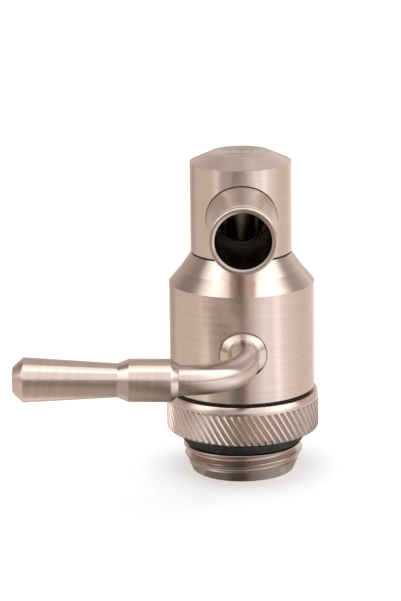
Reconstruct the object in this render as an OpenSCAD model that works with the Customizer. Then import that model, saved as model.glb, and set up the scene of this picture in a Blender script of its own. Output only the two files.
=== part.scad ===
// Stainless barrel tap: a body with a quarter-turn ball valve, an outlet head that turns
// on top of it, a bent handle, and a knurled screw-in collar that turns below it.
// The barrel thread's axis is Z and its end face lies at z = 0. The outlet and the
// handle's hub face -Y, and the handle of the closed tap points along -X. Millimetres.

/* [Collar] */
// Outside diameter of the male barrel thread
thread_d = 20.955; // [20.6:0.005:21.4]
// Distance from one thread crest to the next
thread_pitch = 1.814; // [1.7:0.002:1.9]
// Depth of the thread
thread_depth = 1.1; // [0.9:0.05:1.2]
// Length of the threaded end
thread_len = 5.1; // [4.8:0.1:6]
// Diameter of the end face, below the thread's lead chamfer
thread_end_d = 17.9; // [17.6:0.1:18.2]
// Length of the lead chamfer on the thread
thread_lead = 3.4; // [2.4:0.1:3.8]
// Diameter of the relief between thread and flange
relief_d = 16.6; // [16.4:0.1:17]
// Diameter of the knurled flange
flange_d = 26.8; // [26.2:0.1:28.4]
// Height of the knurled flange
flange_h = 6.84; // [6.4:0.02:8]
// Depth of the bevel on the flange's upper edge
flange_bevel = 0.35; // [0.2:0.05:0.5]
// Height of the bevelled and plain band above the knurl
flange_band_h = 1.5; // [1.2:0.1:2]
// Number of knurl teeth
knurl_count = 66; // [54:1:72]
// Depth of the knurl grooves
knurl_depth = 0.4; // [0.25:0.05:0.45]
// Angle of the knurl grooves from the collar's axis
knurl_angle = 32; // [20:1:40]
// Thickness of the black seal under the flange
collar_seal_t = 2.6; // [2.2:0.1:2.7]

/* [Body] */
// Diameter of the barrel body
body_d = 25.4; // [25:0.1:26]
// Height of the barrel body with its shoulder
body_h = 24.2; // [24:0.1:26]
// Diameter of the body's top
neck_top_d = 17.6; // [17:0.1:18.4]
// Diameter where the two shoulder cones meet
shoulder_mid_d = 21.4; // [20.6:0.1:22]
// Height of the upper, steeper shoulder cone
neck_cone_h = 2.75; // [2.2:0.05:3]
// Height of the lower shoulder cone
shoulder_cone_h = 2.4; // [2:0.05:3]
// Gap between the flange and the body
collar_gap = 0.55; // [0.4:0.05:0.8]
// Height of the handle's hub above the body's lower face
hub_h = 8.8; // [8.7:0.05:9.4]

/* [Head] */
// Diameter of the outlet head
head_d = 17.64; // [17.2:0.02:18.6]
// Height of the outlet head
head_h = 17.4; // [17:0.1:19]
// Diameter of the flat on top of the head
head_top_d = 10.7; // [9:0.1:12]
// Height of the chamfer round the head's top
head_chamfer_h = 1.6; // [1:0.1:2]
// Gap between the head and the body
head_gap = 0.25; // [0.2:0.05:0.4]
// Height of the outlet's axis above the head's lower face
spout_h = 7.1; // [7:0.05:8]
// Diameter of the head's neck, which turns in the body
neck_d = 12.9; // [12.7:0.1:13.1]
// Length of the head's neck below the head
neck_len = 7.1; // [7:0.05:7.2]

/* [Spout] */
// Distance of the outlet's rim from the barrel axis
spout_reach = 23.7; // [21:0.1:23.8]
// Outside diameter of the outlet's rim
spout_rim_d = 11.58; // [11.3:0.02:11.9]
// Outside diameter of the outlet where it enters the head
spout_root_d = 12.1; // [12:0.1:12.4]
// Bore of the outlet
spout_bore_d = 9.52; // [9:0.02:9.8]
// Play between the spout and the mouth of its seat
spout_seam = 0.15; // [0.1:0.05:0.2]

/* [Valve] */
// Diameter of the ball
ball_d = 13; // [12.8:0.1:13]
// Diameter of the port through ball, seats and neck
port_d = 8; // [7.4:0.1:8]
// Diameter of the gland's inlet bore
inlet_d = 8.6; // [8:0.1:8.8]
// Outside diameter of the gland's tube, on which the collar turns
gland_tube_d = 13.2; // [13.1:0.1:13.4]
// Diameter of the gland's screwed-in part
gland_d = 19; // [18.8:0.1:19.2]
// Radial clearance of everything that turns
run_gap = 0.05; // [0.03:0.01:0.08]
// Thickness of the O-rings on the gland tube and the head's neck
neck_seal_t = 1.5; // [1.4:0.05:1.55]
// Thickness of the O-rings on the valve stem
stem_seal_t = 1; // [0.9:0.05:1.05]

/* [Handle] */
// Diameter of the valve stem
stem_d = 8; // [7.8:0.1:8]
// Diameter of the handle's rod
rod_d = 5.14; // [4.8:0.02:5.4]
// Distance of the handle's axis from the barrel axis
handle_offset = 27.8; // [27.8:0.1:30]
// Radius of the rod's bend, at its centre line
bend_r = 10.3; // [9:0.1:10.5]
// Turn of the handle about the stem's axis, as it is bent
handle_tilt = 1; // [0:0.5:3]
// Distance of the grip's tip from the hub's axis
handle_reach = 38.65; // [37.5:0.05:44]
// Distance of the grip's first face from the hub's axis
grip_start = 11; // [10.8:0.1:11.5]
// Diameter of the grip's collar
grip_collar_d = 7.24; // [6.8:0.02:7.3]
// Diameter of the grip's waist
grip_waist_d = 5.7; // [5:0.1:6]
// Diameter of the grip's thick end
grip_end_d = 7.6; // [7:0.1:8]
// Diameter of the grip's end face
grip_tip_d = 4.3; // [3.4:0.1:5]

/* [Hidden] */

$fn = 96;
eps = 0.5;             // how far a cutter runs past the face it opens
edge = 0.12;           // broken edges of turned pieces
steel = [0.74, 0.70, 0.67];
black_rubber = [0.06, 0.06, 0.06];
white_plastic = [0.93, 0.93, 0.90];

// Heights of the main faces
seal_play = 0.06;
flange_z = thread_len + collar_seal_t + seal_play;
flange_top_z = flange_z + flange_h;
body_z = flange_top_z + collar_gap;
body_top_z = body_z + body_h;
head_z = body_top_z + head_gap;
head_top_z = head_z + head_h;
hub_z = body_z + hub_h;
spout_z = head_z + spout_h;
neck_end_z = head_z - neck_len;

// Fits
stem_bore_d = stem_d + 2 * run_gap;
neck_bore_d = neck_d + 2 * run_gap;
collar_bore_d = gland_tube_d + 2 * run_gap;

// Ball chamber: the same diameter in the body and in the gland's pocket
chamber_d = ball_d + 0.8;
ball_play = 0.03;
seat_far = ball_d / 2 + 0.3;      // from the ball's centre to a seat's outer face
seat_near = 3.6;                  // from the ball's centre to a seat's lip
gland_top_z = hub_z - stem_bore_d / 2 - 0.6;

// Thread
thread_segments = 48;             // flat steps in one turn
thread_crest_w = 0.3;
thread_root_w = 0.35;
corners_in_turn = 4;

// Knurl
knurl_z0 = flange_z + edge;
knurl_h = flange_h - flange_band_h;    // it ends inside the plain band
knurl_slices = 3;

// O-ring grooves: a groove is a little wider than its ring
groove_play = 0.1;
squeeze = 0.9;                    // part of a ring's thickness that its groove leaves

// Collar bearing on the gland tube
tube_end_z = 0;                   // the tube ends level with the collar
circlip_play = 0.1;               // a circlip's bore is this much wider than its groove's bottom
circlip_t = 0.95;
circlip_z = 0.65;
circlip_d = 15.6;
circlip_groove_d = gland_tube_d - 1.4;
collar_recess_d = 16;
collar_recess_z = circlip_z + circlip_t + 0.1;
bearing_seal_z = [5.4, 11.4];
spanner_slot_w = 1.6;
spanner_slot_h = 1;

// Neck of the head
head_groove_h = [3.3, 5.5];       // centres of the seal grooves above the neck's end
head_groove_z = [for (h = head_groove_h) neck_end_z + h];
snap_t = 1;
snap_z = neck_end_z + 0.7;
snap_d = neck_bore_d + 1.2;
snap_groove_d = neck_d - 1.8;
drill_cone_h = port_d / 2 * tan(30);
mark_r = 2;                       // turned ring on the head's top

// Spout
shank_end = 4.1;                  // distance of the spout's inner end from the barrel axis
seat_step = 6;                    // where the seat's wider mouth begins
spout_seal_s = 5.05;
spout_seal_t = 0.8;

// Valve stem: distances s from the barrel axis towards the handle
stem_inner_s = chamber_d / 2 + 0.1;
stem_edge_s = body_d / 2 - 0.5;
stem_face_s = body_d / 2 + 0.3;
tongue_w = 2.5;
tongue_l = 6.6;
tongue_end_s = ball_d / 2 - 1.75;
slot_play = 0.05;
stem_groove_s = [body_d / 2 - 4.75, body_d / 2 - 3.25];
dog_s = body_d / 2 - 1.6;
dog_d = 1.2;
screw_d = 1.8;
dog_slot_r = stem_d / 2 - 1;
dog_slot_w = dog_d + 0.2;
dog_half_angle = asin((dog_d / 2 + run_gap) / dog_slot_r);
turn = 90;

// Grip: distances from the hub's axis
collar_start = grip_start + 1.25;
collar_end = 19.3;
waist_at = 21.2;
flare_end = handle_reach - 1.75;
rod_tail_d = 4;
rod_tail_end = 18.5;

// A solid of revolution about Z from [radius, height] points
module turned(points) {
    rotate_extrude() polygon(points);
}

// A plain ring about Z
module ring(inner_d, outer_d, z, h) {
    translate([0, 0, z]) difference() {
        cylinder(d = outer_d, h = h);
        translate([0, 0, -eps]) cylinder(d = inner_d, h = h + 2 * eps);
    }
}

// An O-ring about Z, pressed flat where its groove and its bore hold it
module o_ring(inner_r, outer_r, thickness, z) {
    rotate_extrude() translate([0, z]) intersection() {
        translate([(inner_r + outer_r) / 2, 0]) circle(d = thickness);
        translate([inner_r, -thickness]) square([outer_r - inner_r, 2 * thickness]);
    }
}

// The groove that holds an O-ring on a shaft
module o_groove(shaft_d, thickness, z) {
    w = thickness + groove_play;
    ring(groove_bottom_d(shaft_d, thickness), shaft_d + 2 * eps, z - w / 2, w);
}
function groove_bottom_d(shaft_d, thickness) = shaft_d - 2 * squeeze * thickness;

// An O-ring in its groove on a shaft, just clear of the bore round it
module seal_on(shaft_d, thickness, z, clear = run_gap) {
    o_ring(groove_bottom_d(shaft_d, thickness) / 2, shaft_d / 2 + clear, thickness, z);
}

// Turns Z to point from the barrel axis towards the viewer, through a given height
module towards_front(z) {
    translate([0, 0, z]) rotate([90, 0, 0]) children();
}

// Radius of the thread at a height and an angle. The outline has a crest and a root
// with straight flanks between them, and the lead chamfer trims the crests near the end.
function thread_r(z, angle) =
    let (turns = z / thread_pitch - angle / 360,
         off = abs(turns - round(turns)) * thread_pitch,
         flank = (thread_pitch - thread_crest_w - thread_root_w) / 2,
         down = max(0, min(1, (off - thread_crest_w / 2) / flank)),
         lead = (thread_end_d + (thread_d - thread_end_d) * z / thread_lead) / 2)
    min(lead, thread_d / 2 - thread_depth * down);

// The threaded end as one solid plug. Its rows of points climb along the helix, one row
// at each corner of the outline, and stop at the plug's two flat ends.
module threaded_end() {
    corners = [thread_crest_w / 2, (thread_pitch - thread_root_w) / 2,
               (thread_pitch + thread_root_w) / 2, thread_pitch - thread_crest_w / 2];
    n = thread_segments;
    turns = ceil(thread_len / thread_pitch) + 4;
    rows = corners_in_turn * turns;
    points = concat(
        [for (k = [0:rows - 1]) for (i = [0:n - 1])
            let (angle = 360 * i / n,
                 start = (floor(k / corners_in_turn) - 2) * thread_pitch,
                 climb = start + i / n * thread_pitch + corners[k % corners_in_turn],
                 z = max(0, min(thread_len, climb)),
                 r = thread_r(z, angle))
            [r * cos(angle), r * sin(angle), z]],
        [[0, 0, 0], [0, 0, thread_len]]);
    bottom = rows * n;
    top = bottom + 1;
    // after a full turn each row runs on into the row of the next thread
    function next(k, i) = i < n - 1 ? k * n + i + 1 : min(k + corners_in_turn, rows - 1) * n;
    sides = [for (k = [0:rows - 2]) for (i = [0:n - 1])
        let (a = k * n + i, b = next(k, i), c = next(k + 1, i), d = a + n)
        for (t = [[a, d, c], [a, c, b]])
            let (p = points[t[0]], q = points[t[1]], r = points[t[2]])
            if (p != q && q != r && p != r) t];
    ends = [for (i = [0:n - 1]) for (t = [
        [bottom, i, (i + 1) % n],
        [top, (rows - 1) * n + (i + 1) % n, (rows - 1) * n + i]]) t];
    polyhedron(points, concat(sides, ends));
}

// The band of slanted knurl teeth
module knurl_band() {
    step = 360 / knurl_count;
    crest = flange_d / 2 - 0.03;
    root = crest - knurl_depth;
    tooth = [for (i = [0:knurl_count - 1])
        for (k = [[0, root], [0.35, crest], [0.65, crest]])
        let (a = (i + k[0]) * step) [k[1] * cos(a), k[1] * sin(a)]];
    twist = tan(knurl_angle) * knurl_h / crest * 180 / PI;
    translate([0, 0, knurl_z0])
        linear_extrude(height = knurl_h, twist = twist, slices = knurl_slices) polygon(tooth);
}

module collar() {
    core_r = flange_d / 2 - knurl_depth - 0.08;
    band_z = flange_top_z - flange_band_h;
    color(steel) difference() {
        union() {
            turned([
                [0, thread_len - 1], [relief_d / 2, thread_len - 1], [relief_d / 2, flange_z],
                [core_r, flange_z], [core_r, band_z], [flange_d / 2, band_z],
                [flange_d / 2, flange_top_z - 3 * flange_bevel],
                [flange_d / 2 - flange_bevel, flange_top_z], [0, flange_top_z]
            ]);
            threaded_end();
            knurl_band();
        }
        translate([0, 0, -eps]) cylinder(d = collar_bore_d, h = flange_top_z + 2 * eps);
        translate([0, 0, -eps]) cylinder(d = collar_recess_d, h = collar_recess_z + eps);
    }
}

module collar_seal() {
    color(black_rubber) rotate_extrude()
        translate([relief_d / 2 + collar_seal_t / 2, thread_len + seal_play / 2 + collar_seal_t / 2])
        circle(d = collar_seal_t);
}

module body() {
    r = body_d / 2;
    color(steel) difference() {
        turned([
            [0, body_z], [r - edge, body_z], [r, body_z + edge],
            [r, body_top_z - neck_cone_h - shoulder_cone_h],
            [shoulder_mid_d / 2, body_top_z - neck_cone_h],
            [neck_top_d / 2, body_top_z], [0, body_top_z]
        ]);
        // screwed seat of the gland
        translate([0, 0, body_z - eps]) cylinder(d = gland_d, h = gland_top_z - body_z + eps);
        // ball chamber, port and neck bore
        translate([0, 0, body_z]) cylinder(d = chamber_d, h = hub_z + seat_far - body_z);
        translate([0, 0, hub_z]) cylinder(d = port_d, h = body_h);
        translate([0, 0, neck_end_z - 0.1]) cylinder(d = neck_bore_d, h = neck_len + eps);
        ring(neck_bore_d - 2 * eps, snap_d + 0.2, snap_z - 0.1, snap_t + 0.2);
        // stem bore and its mouth
        towards_front(hub_z) translate([0, 0, chamber_d / 2 - 1.5]) cylinder(d = stem_bore_d, h = r);
        towards_front(hub_z) translate([0, 0, stem_edge_s - 0.8]) cylinder(d = stem_bore_d + 0.2, h = r);
        // hole of the stop screw
        translate([0, -dog_s, body_z - eps]) cylinder(d = screw_d, h = hub_h + eps - stem_d / 4);
    }
}

module gland() {
    floor_z = hub_z - seat_far;
    color(steel) difference() {
        union() {
            translate([0, 0, tube_end_z]) cylinder(d = gland_tube_d, h = body_z - tube_end_z + eps);
            translate([0, 0, body_z]) cylinder(d = gland_d, h = gland_top_z - body_z);
        }
        translate([0, 0, tube_end_z - eps]) cylinder(d = inlet_d, h = floor_z - tube_end_z + 2 * eps);
        translate([0, 0, floor_z]) cylinder(d = chamber_d, h = gland_top_z - floor_z + eps);
        for (z = bearing_seal_z) o_groove(gland_tube_d, neck_seal_t, z);
        o_groove(gland_d, stem_seal_t, gland_top_z - 1.1);
        ring(circlip_groove_d, gland_tube_d + eps, circlip_z - run_gap, circlip_t + 2 * run_gap);
        translate([-gland_d / 2, -spanner_slot_w / 2, tube_end_z - eps])
            cube([gland_d, spanner_slot_w, spanner_slot_h + eps]);
    }
}

module gland_seal() {
    color(black_rubber) seal_on(gland_d, stem_seal_t, gland_top_z - 1.1, clear = 0);
}

module collar_bearing_seal_upper() {
    color(black_rubber) seal_on(gland_tube_d, neck_seal_t, bearing_seal_z[1], clear = run_gap / 2);
}

module collar_bearing_seal_lower() {
    color(black_rubber) seal_on(gland_tube_d, neck_seal_t, bearing_seal_z[0], clear = run_gap / 2);
}

// A flat open ring: a gap faces +Y
module open_ring(inner_d, outer_d, z, h, gap) {
    difference() {
        ring(inner_d, outer_d, z, h);
        translate([-gap / 2, 0, z - eps]) cube([gap, outer_d, h + 2 * eps]);
    }
}

module collar_circlip() {
    color(steel) open_ring(circlip_groove_d + circlip_play, circlip_d, circlip_z, circlip_t, 3);
}

module collar_slip_washer() {
    color(black_rubber) ring(gland_tube_d, body_d - 1.6, flange_top_z + run_gap, collar_gap - run_gap);
}

// A soft ring seat, hollowed by the ball. side is 1 above the ball and -1 below it.
module ball_seat(side) {
    low = side > 0 ? seat_near : -seat_far;
    translate([0, 0, hub_z]) difference() {
        ring(port_d, chamber_d, low, seat_far - seat_near);
        sphere(d = ball_d + 2 * ball_play);
    }
}

module upper_ball_seat() {
    color(white_plastic) ball_seat(1);
}

module lower_ball_seat() {
    color(white_plastic) ball_seat(-1);
}

module ball() {
    slot_w = tongue_w + 2 * slot_play;
    color(steel) translate([0, 0, hub_z]) difference() {
        sphere(d = ball_d);
        rotate([0, 90, 0]) cylinder(d = port_d, h = ball_d, center = true);
        translate([-slot_w / 2, -ball_d, -ball_d / 2])
            cube([slot_w, ball_d - tongue_end_s + slot_play, ball_d]);
    }
}

// Valve stem, rod and bend, one piece. The bent rod is turned a little about the stem's
// axis, and the ring groove is cut only as far as the stop screw travels.
module handle_stem() {
    r = stem_d / 2;
    first = 270 - dog_half_angle;
    color(steel) towards_front(hub_z) rotate([0, 0, -handle_tilt]) {
        difference() {
            turned([
                [0, stem_inner_s], [r, stem_inner_s], [r, stem_edge_s],
                [rod_d / 2 + 0.3, stem_face_s], [rod_d / 2, stem_face_s + 0.5],
                [rod_d / 2, handle_offset - bend_r], [0, handle_offset - bend_r]
            ]);
            for (s = stem_groove_s) o_groove(stem_d, stem_seal_t, s);
            rotate([0, 0, handle_tilt + first]) rotate_extrude(angle = turn + 2 * dog_half_angle)
                translate([dog_slot_r, dog_s - dog_slot_w / 2]) square([2, dog_slot_w]);
        }
        rotate([0, 0, handle_tilt]) translate([-tongue_w / 2, -tongue_l / 2, tongue_end_s])
            cube([tongue_w, tongue_l, stem_inner_s - tongue_end_s + 0.2]);
        translate([-bend_r, 0, handle_offset - bend_r]) rotate([90, 0, 0])
            rotate_extrude(angle = 90) translate([bend_r, 0]) circle(d = rod_d);
        translate([-bend_r, 0, handle_offset]) rotate([0, -90, 0])
            cylinder(d = rod_d, h = grip_start - bend_r);
        translate([-grip_start, 0, handle_offset]) rotate([0, -90, 0])
            cylinder(d = rod_tail_d, h = rod_tail_end - grip_start);
    }
}

module stem_seal_outer() {
    color(black_rubber) towards_front(hub_z)
        seal_on(stem_d, stem_seal_t, stem_groove_s[1], clear = run_gap / 2);
}

module stem_seal_inner() {
    color(black_rubber) towards_front(hub_z)
        seal_on(stem_d, stem_seal_t, stem_groove_s[0], clear = run_gap / 2);
}

module handle_grip() {
    color(steel) towards_front(hub_z) rotate([0, 0, -handle_tilt])
        translate([0, 0, handle_offset]) rotate([0, -90, 0]) difference() {
            turned([
                [0, grip_start], [rod_d / 2 + 0.1, grip_start],
                [grip_collar_d / 2, collar_start], [grip_collar_d / 2, collar_end],
                [grip_waist_d / 2, waist_at], [grip_end_d / 2, flare_end],
                [grip_tip_d / 2, handle_reach], [0, handle_reach]
            ]);
            cylinder(d = rod_tail_d, h = rod_tail_end);
        }
}

module stop_screw() {
    color(steel) translate([0, -dog_s, 0]) difference() {
        union() {
            translate([0, 0, body_z + 0.3]) cylinder(d = screw_d, h = hub_h - stem_d / 2 - 0.6);
            translate([0, 0, body_z + 0.3]) cylinder(d = dog_d, h = hub_h - dog_slot_r - 0.4);
        }
        translate([0, 0, body_z]) cylinder(d = screw_d / 2, h = 1.2, $fn = 6);
    }
}

module outlet_head() {
    r = head_d / 2;
    color(steel) difference() {
        turned([
            [0, neck_end_z], [neck_d / 2 - edge, neck_end_z], [neck_d / 2, neck_end_z + edge],
            [neck_d / 2, head_z], [r - edge, head_z], [r, head_z + edge],
            [r, head_top_z - head_chamfer_h], [head_top_d / 2, head_top_z], [0, head_top_z]
        ]);
        // waterway, with the drill's cone at its upper end
        turned([
            [0, neck_end_z - eps], [port_d / 2, neck_end_z - eps], [port_d / 2, spout_z + port_d / 2],
            [0, spout_z + port_d / 2 + drill_cone_h]
        ]);
        towards_front(spout_z) {
            cylinder(d = spout_bore_d, h = shank_end + eps);
            translate([0, 0, shank_end]) cylinder(d = spout_root_d, h = head_d);
            translate([0, 0, seat_step]) cylinder(d = spout_root_d + 2 * spout_seam, h = head_d);
        }
        for (z = head_groove_z) o_groove(neck_d, neck_seal_t, z);
        ring(snap_groove_d, neck_d + eps, snap_z - run_gap, snap_t + 2 * run_gap);
        // turned centre mark
        ring(2 * mark_r - 0.2, 2 * mark_r + 0.2, head_top_z - 0.08, eps);
        translate([0, 0, head_top_z - 0.3]) cylinder(r1 = 0, r2 = 0.5, h = 0.31);
    }
}

module head_slip_washer() {
    color(black_rubber) ring(neck_bore_d, neck_top_d - 0.7, body_top_z, head_gap - run_gap / 2);
}

module head_seal_upper() {
    color(black_rubber) seal_on(neck_d, neck_seal_t, head_groove_z[1], clear = run_gap / 2);
}

module head_seal_lower() {
    color(black_rubber) seal_on(neck_d, neck_seal_t, head_groove_z[0], clear = run_gap / 2);
}

module head_snap_ring() {
    color(steel) open_ring(snap_groove_d + circlip_play, snap_d, snap_z, snap_t, 3);
}

module spout() {
    root = spout_root_d / 2;
    rim = spout_rim_d / 2;
    taper_end = spout_reach - 2.1;
    taper_r = rim - 0.06;
    color(steel) towards_front(spout_z) difference() {
        turned([
            [0, shank_end], [root, shank_end], [root, head_d / 2 + 0.2], [taper_r, taper_end],
            [taper_r - 0.12, taper_end + 0.15], [taper_r, taper_end + 0.3],
            [taper_r, taper_end + 0.7], [taper_r - 0.12, taper_end + 0.85],
            [rim, taper_end + 1.05], [rim, spout_reach - 0.4], [rim - 0.12, spout_reach - 0.15],
            [rim - 0.38, spout_reach], [0, spout_reach]
        ]);
        translate([0, 0, shank_end - eps]) cylinder(d = spout_bore_d, h = spout_reach);
        translate([0, 0, spout_reach - 0.2])
            cylinder(d1 = spout_bore_d, d2 = spout_bore_d + 0.8, h = 0.4);
        o_groove(spout_root_d, spout_seal_t, spout_seal_s);
    }
}

module spout_seal() {
    color(black_rubber) towards_front(spout_z) seal_on(spout_root_d, spout_seal_t, spout_seal_s, clear = 0);
}

body();
outlet_head();
spout();
collar();
collar_seal();
handle_stem();
handle_grip();
collar_slip_washer();
head_slip_washer();
ball();
upper_ball_seat();
lower_ball_seat();
gland();
gland_seal();
collar_bearing_seal_upper();
collar_bearing_seal_lower();
collar_circlip();
head_seal_upper();
head_seal_lower();
head_snap_ring();
spout_seal();
stem_seal_outer();
stem_seal_inner();
stop_screw();
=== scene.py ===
import math

import bmesh
import bpy
from mathutils import Matrix, Vector


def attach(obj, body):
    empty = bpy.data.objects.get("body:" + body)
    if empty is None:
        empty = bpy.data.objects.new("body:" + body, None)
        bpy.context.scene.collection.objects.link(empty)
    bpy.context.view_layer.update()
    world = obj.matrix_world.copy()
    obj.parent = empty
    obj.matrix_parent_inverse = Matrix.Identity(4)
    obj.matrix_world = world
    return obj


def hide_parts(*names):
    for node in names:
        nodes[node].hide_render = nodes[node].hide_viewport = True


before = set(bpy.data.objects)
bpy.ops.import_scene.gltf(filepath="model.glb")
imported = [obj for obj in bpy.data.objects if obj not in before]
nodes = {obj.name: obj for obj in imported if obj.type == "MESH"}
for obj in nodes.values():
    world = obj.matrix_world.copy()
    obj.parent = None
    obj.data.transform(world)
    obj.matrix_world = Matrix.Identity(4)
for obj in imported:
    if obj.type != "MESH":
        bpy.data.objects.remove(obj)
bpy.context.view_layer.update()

MM = 0.001

# Places that several pieces share, in millimetres in the part's own frame
HUB_Z = 23.95
SPOUT_Z = 46.7
HANDLE_OFFSET = 27.8
HANDLE_TILT = math.radians(1.0)


# ---------------------------------------------------------------- node helpers

def new_material(name):
    """A material with a Principled shader, and a short way to add nodes to it."""
    mat = bpy.data.materials.new(name)
    mat.use_nodes = True
    tree = mat.node_tree
    tree.nodes.clear()
    out = tree.nodes.new("ShaderNodeOutputMaterial")
    shader = tree.nodes.new("ShaderNodeBsdfPrincipled")
    tree.links.new(shader.outputs["BSDF"], out.inputs["Surface"])
    return mat, tree, shader


def math_node(tree, operation, a, b=None, c=None, clamp=False):
    node = tree.nodes.new("ShaderNodeMath")
    node.operation = operation
    node.use_clamp = clamp
    for socket, value in zip(node.inputs, (a, b, c)):
        if value is None:
            continue
        if isinstance(value, (int, float)):
            socket.default_value = value
        else:
            tree.links.new(value, socket)
    return node.outputs[0]


def map_range(tree, value, low, high, to_low, to_high, smooth=False):
    node = tree.nodes.new("ShaderNodeMapRange")
    node.interpolation_type = "SMOOTHSTEP" if smooth else "LINEAR"
    tree.links.new(value, node.inputs["Value"])
    node.inputs["From Min"].default_value = low
    node.inputs["From Max"].default_value = high
    node.inputs["To Min"].default_value = to_low
    node.inputs["To Max"].default_value = to_high
    return node.outputs["Result"]


def noise(tree, vector, scale, detail=2.0, roughness=0.5):
    node = tree.nodes.new("ShaderNodeTexNoise")
    node.noise_dimensions = "3D"
    node.inputs["Scale"].default_value = scale
    node.inputs["Detail"].default_value = detail
    node.inputs["Roughness"].default_value = roughness
    tree.links.new(vector, node.inputs["Vector"])
    return node.outputs["Fac"]


def mix_colour(tree, factor, a, b):
    node = tree.nodes.new("ShaderNodeMix")
    node.data_type = "RGBA"
    if isinstance(factor, (int, float)):
        node.inputs["Factor"].default_value = factor
    else:
        tree.links.new(factor, node.inputs["Factor"])
    for socket, value in ((node.inputs[6], a), (node.inputs[7], b)):
        if isinstance(value, tuple):
            socket.default_value = (*value, 1.0)
        else:
            tree.links.new(value, socket)
    return node.outputs[2]


def lathe_coordinates(tree, centre, turn):
    """Object coordinates in millimetres, moved and turned so that the lathe's axis is Z."""
    coords = tree.nodes.new("ShaderNodeTexCoord")
    mapping = tree.nodes.new("ShaderNodeMapping")
    mapping.vector_type = "TEXTURE"
    mapping.inputs["Location"].default_value = [c * MM for c in centre]
    mapping.inputs["Rotation"].default_value = turn
    mapping.inputs["Scale"].default_value = (MM, MM, MM)
    tree.links.new(coords.outputs["Object"], mapping.inputs["Vector"])
    split = tree.nodes.new("ShaderNodeSeparateXYZ")
    tree.links.new(mapping.outputs["Vector"], split.inputs["Vector"])
    return mapping.outputs["Vector"], split.outputs["X"], split.outputs["Y"], split.outputs["Z"]


def combine(tree, x, y, z):
    node = tree.nodes.new("ShaderNodeCombineXYZ")
    for socket, value in zip(node.inputs, (x, y, z)):
        if isinstance(value, (int, float)):
            socket.default_value = value
        else:
            tree.links.new(value, socket)
    return node.outputs["Vector"]


# ---------------------------------------------------------------- materials

STEEL = (0.62, 0.525, 0.465)


def lathe_tangent(tree, shader, centre, axis, evenness):
    """Turns the shader's stretched highlight across the ring marks, at rest and in any pose."""
    coords = tree.nodes.new("ShaderNodeTexCoord")
    arm = tree.nodes.new("ShaderNodeVectorMath")
    arm.operation = "SUBTRACT"
    tree.links.new(coords.outputs["Object"], arm.inputs[0])
    arm.inputs[1].default_value = [c * MM for c in centre]
    round_it = tree.nodes.new("ShaderNodeVectorMath")
    round_it.operation = "CROSS_PRODUCT"
    round_it.inputs[0].default_value = axis
    tree.links.new(arm.outputs["Vector"], round_it.inputs[1])
    world = tree.nodes.new("ShaderNodeVectorTransform")
    world.vector_type = "VECTOR"
    world.convert_from, world.convert_to = "OBJECT", "WORLD"
    tree.links.new(round_it.outputs["Vector"], world.inputs["Vector"])
    tree.links.new(world.outputs["Vector"], shader.inputs["Tangent"])
    shader.inputs["Anisotropic Rotation"].default_value = 0.25
    tree.links.new(map_range(tree, evenness, 0.3, 0.7, 0.8, 0.93), shader.inputs["Anisotropic"])


def turned_steel(name, centre=(0, 0, 0), turn=(0, 0, 0), axis=(0, 0, 1), colour=STEEL,
                 rough=(0.19, 0.27), mark=0.3, pitch=0.10, bore_shade_within=None):
    """Satin stainless with the fine ring marks of a lathe round the given axis, and painted shade darkening
    the bore if asked.
    """
    mat, tree, shader = new_material(name)
    place, x, y, z = lathe_coordinates(tree, centre, turn)
    radius = math_node(tree, "SQRT", math_node(tree, "ADD", math_node(tree, "MULTIPLY", x, x),
                                               math_node(tree, "MULTIPLY", y, y)))
    along = math_node(tree, "MULTIPLY_ADD", radius, -1.37, z)
    # rings: fast along the profile, slow round the axis
    slow = 0.18
    fine = noise(tree, combine(tree, math_node(tree, "MULTIPLY", x, slow * 0.4),
                               math_node(tree, "MULTIPLY", y, slow * 0.4),
                               math_node(tree, "DIVIDE", along, pitch)), 1.0, 3.0, 0.65)
    broad = noise(tree, combine(tree, math_node(tree, "MULTIPLY", x, 0.12),
                                math_node(tree, "MULTIPLY", y, 0.12),
                                math_node(tree, "DIVIDE", along, pitch * 7)), 1.0, 2.0, 0.5)
    mottle = noise(tree, place, 0.35, 3.0, 0.55)
    # colour: a little lighter and darker in rings, and warmer in soft patches
    light = tuple(min(1.0, c * 1.04) for c in colour)
    dark = tuple(c * 0.96 for c in colour)
    warm = (colour[0] * 1.03, colour[1] * 0.985, colour[2] * 0.95)
    rings = map_range(tree, broad, 0.3, 0.7, 0.0, 1.0)
    base = mix_colour(tree, rings, dark, light)
    patches = map_range(tree, mottle, 0.42, 0.66, 0.0, 0.55, True)
    surface = mix_colour(tree, patches, base, warm)
    # painted shade: inside the given bore radius the colour is turned near-black, as shade in the deep hole
    if bore_shade_within:
        outside = map_range(tree, radius, bore_shade_within - 0.12, bore_shade_within + 0.02, 0.0, 1.0)
        surface = mix_colour(tree, outside, (0.10, 0.088, 0.082), surface)
    tree.links.new(surface, shader.inputs["Base Color"])
    shader.inputs["Metallic"].default_value = 1.0
    sheen = math_node(tree, "ADD", math_node(tree, "MULTIPLY", fine, 0.6),
                      math_node(tree, "MULTIPLY", mottle, 0.4))
    tree.links.new(map_range(tree, sheen, 0.3, 0.7, rough[0], rough[1]), shader.inputs["Roughness"])
    bump = tree.nodes.new("ShaderNodeBump")
    bump.inputs["Strength"].default_value = mark
    bump.inputs["Distance"].default_value = 0.02 * MM
    tree.links.new(fine, bump.inputs["Height"])
    tree.links.new(bump.outputs["Normal"], shader.inputs["Normal"])
    lathe_tangent(tree, shader, centre, axis, broad)
    return mat


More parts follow.
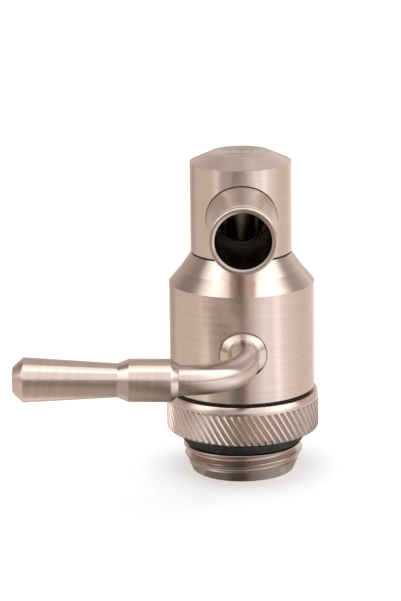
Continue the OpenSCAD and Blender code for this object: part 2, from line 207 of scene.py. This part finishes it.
def rubber(name, colour=(0.012, 0.012, 0.012), rough=(0.42, 0.6)):
    """Black rubber with a faint uneven bloom."""
    mat, tree, shader = new_material(name)
    place, _, _, _ = lathe_coordinates(tree, (0, 0, 0), (0, 0, 0))
    bloom = noise(tree, place, 0.9, 4.0, 0.6)
    pale = tuple(c * 2.2 for c in colour)
    tree.links.new(mix_colour(tree, map_range(tree, bloom, 0.4, 0.75, 0.0, 1.0), colour, pale),
                   shader.inputs["Base Color"])
    tree.links.new(map_range(tree, bloom, 0.3, 0.7, rough[1], rough[0]), shader.inputs["Roughness"])
    grain = noise(tree, place, 9.0, 2.0, 0.5)
    bump = tree.nodes.new("ShaderNodeBump")
    bump.inputs["Strength"].default_value = 0.25
    bump.inputs["Distance"].default_value = 0.01 * MM
    tree.links.new(grain, bump.inputs["Height"])
    tree.links.new(bump.outputs["Normal"], shader.inputs["Normal"])
    return mat


def seat_plastic(name):
    """Off-white seat plastic."""
    mat, tree, shader = new_material(name)
    place, _, _, _ = lathe_coordinates(tree, (0, 0, 0), (0, 0, 0))
    cloud = noise(tree, place, 0.8, 3.0, 0.5)
    tree.links.new(mix_colour(tree, cloud, (0.80, 0.79, 0.74), (0.90, 0.89, 0.85)),
                   shader.inputs["Base Color"])
    tree.links.new(map_range(tree, cloud, 0.3, 0.7, 0.35, 0.5), shader.inputs["Roughness"])
    return mat


def dress(node, material):
    """Gives a CAD node's own slots a material."""
    slots = nodes[node].material_slots
    for slot in slots:
        slot.material = material


FRONT = (math.radians(90), 0, 0)
steel_body = turned_steel("steel_body")
steel_head = turned_steel("steel_head")
# the spout's bore gets painted shade inside 4.9 mm of its axis
steel_spout = turned_steel("steel_spout", (0, 0, SPOUT_Z), FRONT, (0, 1, 0), bore_shade_within=4.9)
steel_collar = turned_steel("steel_collar")
steel_stem = turned_steel("steel_stem", (0, 0, HUB_Z), FRONT, (0, 1, 0))
steel_grip = turned_steel("steel_grip", (0, -HANDLE_OFFSET, HUB_Z), (0, math.radians(90), 0), (1, 0, 0))
steel_inner = turned_steel("steel_inner")
black_ring = rubber("black_ring")
black_washer = rubber("black_washer", (0.008, 0.008, 0.008))
white_seat = seat_plastic("white_seat")

for names, material in (
        (("body",), steel_body), (("outlet_head",), steel_head), (("handle_stem",), steel_stem),
        (("gland", "collar_circlip", "head_snap_ring", "stop_screw", "ball"), steel_inner),
        (("upper_ball_seat", "lower_ball_seat"), white_seat),
        (("collar_slip_washer", "head_slip_washer"), black_washer),
        (("collar_seal", "gland_seal", "collar_bearing_seal_upper", "collar_bearing_seal_lower",
          "head_seal_upper", "head_seal_lower", "spout_seal", "stem_seal_outer",
          "stem_seal_inner"), black_ring)):
    for node in names:
        dress(node, material)


# ---------------------------------------------------------------- shapes

ON_AXIS_Z = Matrix.Identity(4)
TO_FRONT = Matrix.Rotation(math.radians(90), 4, "X")
SPOUT_PLACE = Matrix.Translation((0, 0, SPOUT_Z)) @ TO_FRONT
GRIP_PLACE = (Matrix.Translation((0, 0, HUB_Z)) @ TO_FRONT @ Matrix.Rotation(-HANDLE_TILT, 4, "Z")
              @ Matrix.Translation((0, 0, HANDLE_OFFSET)) @ Matrix.Rotation(math.radians(-90), 4, "Y"))


def spun(outline, steps=128, closed=True):
    """A shape of revolution from an outline of (radius, height) points in millimetres."""
    shape = bmesh.new()
    chain = [shape.verts.new((r, 0, z)) for r, z in outline]
    sides = [shape.edges.new(pair) for pair in zip(chain, chain[1:])]
    if closed:
        sides.append(shape.edges.new((chain[-1], chain[0])))
    bmesh.ops.spin(shape, geom=chain + sides, cent=(0, 0, 0), axis=(0, 0, 1), dvec=(0, 0, 0),
                   angle=math.tau, steps=steps, use_merge=True)
    bmesh.ops.remove_doubles(shape, verts=shape.verts, dist=1e-4)
    return shape


def soften(shape, width, sharper_than=20, segments=2):
    """Rounds the edges that turn by more than an angle."""
    bmesh.ops.recalc_face_normals(shape, faces=shape.faces)
    shape.normal_update()
    hard = [e for e in shape.edges if e.is_manifold
            and e.calc_face_angle(0) > math.radians(sharper_than)]
    bmesh.ops.bevel(shape, geom=hard, offset=width, affect="EDGES", segments=segments,
                    profile=0.5, material=-1, clamp_overlap=True)
    return shape


def piece(name, shape, place, material, body, slot, *replaced):
    """Makes a bmesh in millimetres an object of the part."""
    shape.transform(Matrix.Scale(MM, 4) @ place)
    bmesh.ops.recalc_face_normals(shape, faces=shape.faces)
    if shape.calc_volume(signed=True) < 0:                  # a deep bore can turn them all inwards
        bmesh.ops.reverse_faces(shape, faces=shape.faces)
    mesh = bpy.data.meshes.new(name)
    shape.to_mesh(mesh)
    shape.free()
    mesh.shade_smooth()
    mesh.set_sharp_from_angle(angle=math.radians(32))
    mesh.materials.append(material)
    obj = bpy.data.objects.new(name, mesh)
    bpy.context.scene.collection.objects.link(obj)
    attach(obj, body)
    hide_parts(*replaced)
    return obj


# The collar's sizes, as the CAD part has them
PITCH, CREST_R, THREAD_DEPTH, THREAD_LEN = 1.814, 10.4775, 1.1, 5.1
END_R, LEAD = 8.95, 3.4
RELIEF_R, FLANGE_R, FLANGE_Z, FLANGE_TOP = 8.3, 13.4, 7.76, 14.6
BORE_R, RECESS_R, RECESS_Z = 6.65, 8.0, 1.7
TEETH, KNURL_DEPTH = 66, 0.42
KNURL_ANGLE = math.radians(32)
KNURL_HAND = -1        # the grooves lean to the left as they rise


def rim_edges(shape, height):
    """The open edges that lie at one height."""
    return [e for e in shape.edges if e.is_boundary and all(abs(v.co.z - height) < 1e-4 for v in e.verts)]


def draw_rim(shape, rim, steps):
    """Draws an open rim through (radius, height) steps, and gives back the last rim."""
    for r, z in steps:
        made = bmesh.ops.extrude_edge_only(shape, edges=rim)["geom"]
        rim = [g for g in made if isinstance(g, bmesh.types.BMEdge)]
        for v in {v for e in rim for v in e.verts}:
            now = math.hypot(v.co.x, v.co.y)
            v.co = (v.co.x * r / now, v.co.y * r / now, z)
    return rim


def add_thread(shape, around=180):
    """The threaded end: one outline climbs for a full turn, and both its ends are cut off flat."""
    tooth = ((0.0, 0.0), (0.09, 0.01), (0.15, 0.045), (0.20, 0.12), (0.45, 0.57), (0.69, 0.99),
             (0.75, 1.07), (0.82, 1.095), (PITCH / 2, THREAD_DEPTH))
    one = [(-off, depth) for off, depth in reversed(tooth)][:-1] + list(tooth)
    chain = []
    for turn in range(-1, 5):
        for off, depth in one if turn == -1 else one[1:]:
            chain.append(shape.verts.new((CREST_R - depth, 0, turn * PITCH + off)))
    sides = [shape.edges.new(pair) for pair in zip(chain, chain[1:])]
    bmesh.ops.spin(shape, geom=chain + sides, cent=(0, 0, 0), axis=(0, 0, 1),
                   dvec=(0, 0, PITCH / around), angle=math.tau, steps=around, use_merge=False)
    bmesh.ops.remove_doubles(shape, verts=shape.verts, dist=1e-3)
    for v in shape.verts:                                   # the lead chamfer
        r = math.hypot(v.co.x, v.co.y)
        lead = END_R + (CREST_R - END_R) * max(v.co.z, 0) / LEAD
        if r > lead:
            v.co.x, v.co.y = v.co.x * lead / r, v.co.y * lead / r
    for height, out in ((0.0, -1), (THREAD_LEN, 1)):
        bmesh.ops.bisect_plane(shape, geom=shape.verts[:] + shape.edges[:] + shape.faces[:],
                               plane_co=(0, 0, height), plane_no=(0, 0, out), clear_outer=True)
    end_rim, upper_rim = rim_edges(shape, 0.0), rim_edges(shape, THREAD_LEN)
    inside = draw_rim(shape, end_rim, (
        (RECESS_R, 0.0), (RECESS_R, RECESS_Z), (BORE_R, RECESS_Z), (BORE_R, THREAD_LEN)))
    outside = draw_rim(shape, upper_rim, ((RELIEF_R, THREAD_LEN), (RELIEF_R, FLANGE_Z)))
    return inside, outside


def add_flange(shape):
    """The knurled flange: a toothed ring raised in turned steps, and plain above the knurl."""
    cut = (0.02, 0.10, 0.62, 1.0, 0.62, 0.10)               # share of the depth round one tooth
    rows = ((FLANGE_Z, 0.28, 0.45), (FLANGE_Z + 0.16, 0.07, 0.85), (FLANGE_Z + 0.32, 0.02, 1.0),
            (9.2, 0.0, 1.0), (10.2, 0.0, 1.0), (11.2, 0.0, 1.0), (12.2, 0.0, 1.0),
            (12.85, 0.0, 1.0), (13.08, 0.0, 0.7), (13.24, 0.0, 0.0))
    count = TEETH * len(cut)
    twist = math.tan(KNURL_ANGLE) / FLANGE_R
    made = bmesh.ops.create_circle(shape, cap_ends=False, segments=count, radius=FLANGE_R)["verts"]
    ring = {e for v in made for e in v.link_edges}
    first = rim = list(ring)
    level = {v: 0 for v in made}
    for row in range(1, len(rows)):
        geom = bmesh.ops.extrude_edge_only(shape, edges=rim)["geom"]
        rim = [g for g in geom if isinstance(g, bmesh.types.BMEdge)]
        level.update({g: row for g in geom if isinstance(g, bmesh.types.BMVert)})
    for v, row in level.items():
        height, back, depth = rows[row]
        place = math.atan2(v.co.y, v.co.x) / math.tau * count
        share = cut[round(place) % len(cut)]
        r = FLANGE_R - back - KNURL_DEPTH * depth * share
        angle = round(place) / count * math.tau + KNURL_HAND * twist * (height - FLANGE_Z)
        v.co = (r * math.cos(angle), r * math.sin(angle), height)
    under = draw_rim(shape, first, ((RELIEF_R + 3.2, FLANGE_Z), (RELIEF_R + 0.6, FLANGE_Z)))
    inside = draw_rim(shape, rim, (
        (FLANGE_R, 13.5), (FLANGE_R, FLANGE_TOP - 1.1), (FLANGE_R, FLANGE_TOP - 0.98),
        (FLANGE_R - 0.04, FLANGE_TOP - 0.88), (FLANGE_R - 0.30, FLANGE_TOP - 0.10),
        (FLANGE_R - 0.40, FLANGE_TOP), (BORE_R + 0.2, FLANGE_TOP), (BORE_R, FLANGE_TOP - 0.2),
        (BORE_R, THREAD_LEN + 2)))
    return under, inside


def knurled_collar():
    """Flange and male thread of one turned piece, which turns on the gland's tube."""
    shape = bmesh.new()
    bore_low, relief_top = add_thread(shape)
    under, bore_high = add_flange(shape)
    bmesh.ops.bridge_loops(shape, edges=relief_top + under)
    bmesh.ops.bridge_loops(shape, edges=bore_low + bore_high)
    bmesh.ops.remove_doubles(shape, verts=shape.verts, dist=1e-3)
    return piece("knurled_collar", shape, ON_AXIS_Z, steel_collar, "screw_collar", "stainless", "collar")


def outlet_tube():
    """The spout: a slightly tapered tube with two fine ring grooves behind a rounded lip."""
    shape = spun((
        (6.05, 4.1), (6.05, 4.6), (5.33, 4.6), (5.33, 5.5), (6.05, 5.5), (6.05, 9.02),
        (5.735, 21.55), (5.62, 21.70), (5.735, 21.85), (5.735, 22.30), (5.62, 22.45), (5.75, 22.60),
        (5.79, 22.75), (5.79, 23.30), (5.74, 23.52), (5.60, 23.66), (5.40, 23.70), (5.18, 23.70),
        (4.80, 23.52), (4.76, 23.40), (4.76, 4.1)), 144)
    return piece("outlet_tube", shape, SPOUT_PLACE, steel_spout, "head", "stainless", "spout")


def turned_grip():
    """The grip: a collar, a waist, a long flare and a bevelled end."""
    shape = spun((
        (0.0, 18.5), (2.0, 18.5), (2.0, 11.0), (2.67, 11.0), (3.62, 12.25), (3.62, 19.3), (2.85, 21.2),
        (3.80, 36.9), (2.15, 38.65), (0.0, 38.65)), closed=False)
    soften(shape, 0.14, 12, 3)
    return piece("turned_grip", shape, GRIP_PLACE, steel_grip, "handle", "stainless", "handle_grip")


knurled_collar()
outlet_tube()
turned_grip()


# ---------------------------------------------------------------- stage, light, camera

def at(degrees):
    """A place on an azimuth ramp. Azimuth 0 is where the camera stands, and 90 is to its right."""
    return degrees / 360 + 0.5


# What the turned metal mirrors: lit and dim sides of the room, low down and high up
LOW_ROOM = (
    (at(-180), (0.80, 0.71, 0.65)), (at(-160), (0.75, 0.64, 0.58)), (at(-140), (0.55, 0.46, 0.41)),
    (at(-120), (0.86, 0.74, 0.66)), (at(-70), (0.90, 0.78, 0.70)), (at(-60), (1.10, 0.98, 0.92)),
    (at(-55), (1.25, 1.15, 1.08)), (at(-50), (0.80, 0.70, 0.64)), (at(-40), (0.62, 0.54, 0.48)),
    (at(-22), (0.56, 0.48, 0.42)), (at(-13), (0.26, 0.22, 0.19)), (at(1), (0.25, 0.21, 0.18)),
    (at(10), (0.75, 0.66, 0.60)), (at(20), (1.00, 0.92, 0.90)), (at(33), (1.32, 1.28, 1.32)),
    (at(46), (1.28, 1.24, 1.28)), (at(54), (1.70, 1.66, 1.70)), (at(62), (1.30, 1.22, 1.22)),
    (at(80), (1.12, 1.00, 0.95)), (at(100), (0.98, 0.86, 0.80)), (at(130), (0.95, 0.84, 0.78)),
    (at(155), (1.08, 0.98, 0.92)), (at(180), (0.80, 0.71, 0.65)))
HIGH_ROOM = (
    (at(-180), (0.52, 0.46, 0.42)), (at(-158), (0.80, 0.74, 0.70)), (at(-135), (0.34, 0.28, 0.25)),
    (at(-97), (0.40, 0.34, 0.32)), (at(-88), (1.60, 1.60, 1.60)), (at(-60), (2.60, 2.60, 2.60)),
    (at(-48), (1.50, 1.46, 1.46)), (at(-25), (1.22, 1.20, 1.24)), (at(0), (1.20, 1.20, 1.28)),
    (at(25), (1.25, 1.25, 1.32)), (at(48), (1.70, 1.70, 1.76)), (at(60), (2.60, 2.60, 2.66)),
    (at(90), (2.20, 2.20, 2.26)), (at(100), (0.50, 0.46, 0.45)), (at(125), (0.52, 0.47, 0.45)),
    (at(158), (1.00, 0.94, 0.92)), (at(180), (0.52, 0.46, 0.42)))
HORIZON = (0.42, 0.37, 0.36)


def ramp(tree, value, stops):
    """A colour ramp from (place, colour) stops."""
    node = tree.nodes.new("ShaderNodeValToRGB")
    tree.links.new(value, node.inputs["Fac"])
    points = node.color_ramp.elements
    while len(points) > 1:
        points.remove(points[-1])
    points[0].position, points[0].color = stops[0][0], (*stops[0][1], 1.0)
    for place, colour in stops[1:]:
        points.new(place).color = (*colour, 1.0)
    return node.outputs["Color"]


def azimuth_of(tree, x, y):
    """0 to 1 round the tap: a half is where the camera stands."""
    back_y = math_node(tree, "MULTIPLY", y, -1.0)
    return math_node(tree, "MULTIPLY_ADD", math_node(tree, "ARCTAN2", x, back_y), 0.5 / math.pi, 0.5)


def studio_floor():
    """A pale floor, white to the camera but for the tap's soft shadow.

    The metal sees the room's light on it.
    """
    mesh = bpy.data.meshes.new("studio_floor")
    shape = bmesh.new()
    bmesh.ops.create_grid(shape, x_segments=1, y_segments=1, size=3.0)
    shape.to_mesh(mesh)
    shape.free()
    floor = bpy.data.objects.new("studio_floor", mesh)
    bpy.context.scene.collection.objects.link(floor)
    mat = bpy.data.materials.new("floor_paper")
    mat.use_nodes = True
    tree = mat.node_tree
    tree.nodes.clear()
    out = tree.nodes.new("ShaderNodeOutputMaterial")
    paper = tree.nodes.new("ShaderNodeBsdfDiffuse")
    paper.inputs["Color"].default_value = (0.9, 0.9, 0.9, 1)
    glow = tree.nodes.new("ShaderNodeEmission")
    path = tree.nodes.new("ShaderNodeLightPath")
    tree.links.new(mix_colour(tree, path.outputs["Is Camera Ray"], (0.0, 0.0, 0.0), (0.30, 0.30, 0.30)),
                   glow.inputs["Color"])
    seen = tree.nodes.new("ShaderNodeAddShader")
    tree.links.new(paper.outputs[0], seen.inputs[0])
    tree.links.new(glow.outputs[0], seen.inputs[1])
    place, x, y, _ = lathe_coordinates(tree, (0, 0, 0), (0, 0, 0))
    radius = math_node(tree, "SQRT", math_node(tree, "ADD", math_node(tree, "MULTIPLY", x, x),
                                               math_node(tree, "MULTIPLY", y, y)))
    shade = map_range(tree, radius, 12.0, 45.0, 0.35, 1.0, True)
    mirrored = tree.nodes.new("ShaderNodeEmission")
    tree.links.new(ramp(tree, azimuth_of(tree, x, y), LOW_ROOM), mirrored.inputs["Color"])
    tree.links.new(shade, mirrored.inputs["Strength"])
    both = tree.nodes.new("ShaderNodeMixShader")
    tree.links.new(path.outputs["Is Glossy Ray"], both.inputs["Fac"])
    tree.links.new(seen.outputs[0], both.inputs[1])
    tree.links.new(mirrored.outputs[0], both.inputs[2])
    tree.links.new(both.outputs[0], out.inputs["Surface"])
    mesh.materials.append(mat)
    return floor


def studio_world():
    """White to the camera. The metal sees a soft room with a lit front and a dimmer back."""
    world = bpy.data.worlds.new("studio")
    bpy.context.scene.world = world
    world.use_nodes = True
    tree = world.node_tree
    tree.nodes.clear()
    out = tree.nodes.new("ShaderNodeOutputWorld")
    coords = tree.nodes.new("ShaderNodeTexCoord")
    split = tree.nodes.new("ShaderNodeSeparateXYZ")
    tree.links.new(coords.outputs["Generated"], split.inputs["Vector"])
    azimuth = azimuth_of(tree, split.outputs["X"], split.outputs["Y"])
    height = math_node(tree, "MULTIPLY", math_node(tree, "ARCSINE", split.outputs["Z"]), 180 / math.pi)
    dim = map_range(tree, height, 1.0, 9.0, 0.85, 0.0, True)
    low = mix_colour(tree, dim, ramp(tree, azimuth, LOW_ROOM), HORIZON)
    sides = mix_colour(tree, map_range(tree, height, 9.0, 26.0, 0.0, 1.0, True),
                       low, ramp(tree, azimuth, HIGH_ROOM))
    room = mix_colour(tree, map_range(tree, height, 60.0, 82.0, 0.0, 1.0, True),
                      sides, (0.66, 0.60, 0.57))
    path = tree.nodes.new("ShaderNodeLightPath")
    plain = mix_colour(tree, path.outputs["Is Camera Ray"], (0.85, 0.85, 0.85), (1.0, 1.0, 1.0))
    colour = mix_colour(tree, path.outputs["Is Glossy Ray"], plain, room)
    back = tree.nodes.new("ShaderNodeBackground")
    tree.links.new(colour, back.inputs["Color"])
    tree.links.new(back.outputs[0], out.inputs["Surface"])


def softbox(name, azimuth, elevation, distance, width, height, power, colour=(1, 1, 1)):
    """An area lamp that faces the tap. Azimuth 0 is where the camera stands, and 90 is to its right."""
    lamp = bpy.data.lights.new(name, "AREA")
    lamp.shape = "RECTANGLE"
    lamp.size, lamp.size_y = width, height
    lamp.energy = power
    lamp.color = colour
    obj = bpy.data.objects.new(name, lamp)
    bpy.context.scene.collection.objects.link(obj)
    a, e = math.radians(azimuth), math.radians(elevation)
    towards = Vector((math.sin(a) * math.cos(e), -math.cos(a) * math.cos(e), math.sin(e)))
    target = Vector((0, 0, 0.03))
    obj.location = target + towards * distance
    obj.rotation_mode = "QUATERNION"
    obj.rotation_quaternion = towards.to_track_quat("Z", "Y")
    return obj


def photo_camera():
    """The photograph's view: a long lens, looking down a little, and leaning a little."""
    focal_px, tall_px, sensor_mm = 2800.0, 601.0, 36.0
    down = math.radians(14.8)
    lean = math.radians(-0.76)
    distance = 490.98 * MM
    target = Vector((-7.22 * MM, 0, 30.4 * MM))
    cam = bpy.data.cameras.new("photo_camera")
    cam.sensor_width = sensor_mm
    cam.lens = focal_px * sensor_mm / tall_px
    cam.clip_start, cam.clip_end = 0.01, 20.0
    obj = bpy.data.objects.new("photo_camera", cam)
    bpy.context.scene.collection.objects.link(obj)
    back = Vector((0, -math.cos(down), math.sin(down)))
    up = Vector((0, math.sin(down), math.cos(down)))
    lift = 0.096 * MM     # the lean is round the tap's axis, and not round the picture's centre
    obj.location = target + back * distance + up * lift
    obj.rotation_euler = (Matrix.Rotation(math.radians(90) - down, 3, "X")
                          @ Matrix.Rotation(lean, 3, "Z")).to_euler()
    bpy.context.scene.camera = obj
    return obj


studio_floor()
studio_world()
softbox("top_softbox", 10, 80, 1.0, 0.7, 0.7, 1.5)
photo_camera()

view = bpy.context.scene.view_settings
view.view_transform = "Standard"

bpy.context.view_layer.update()
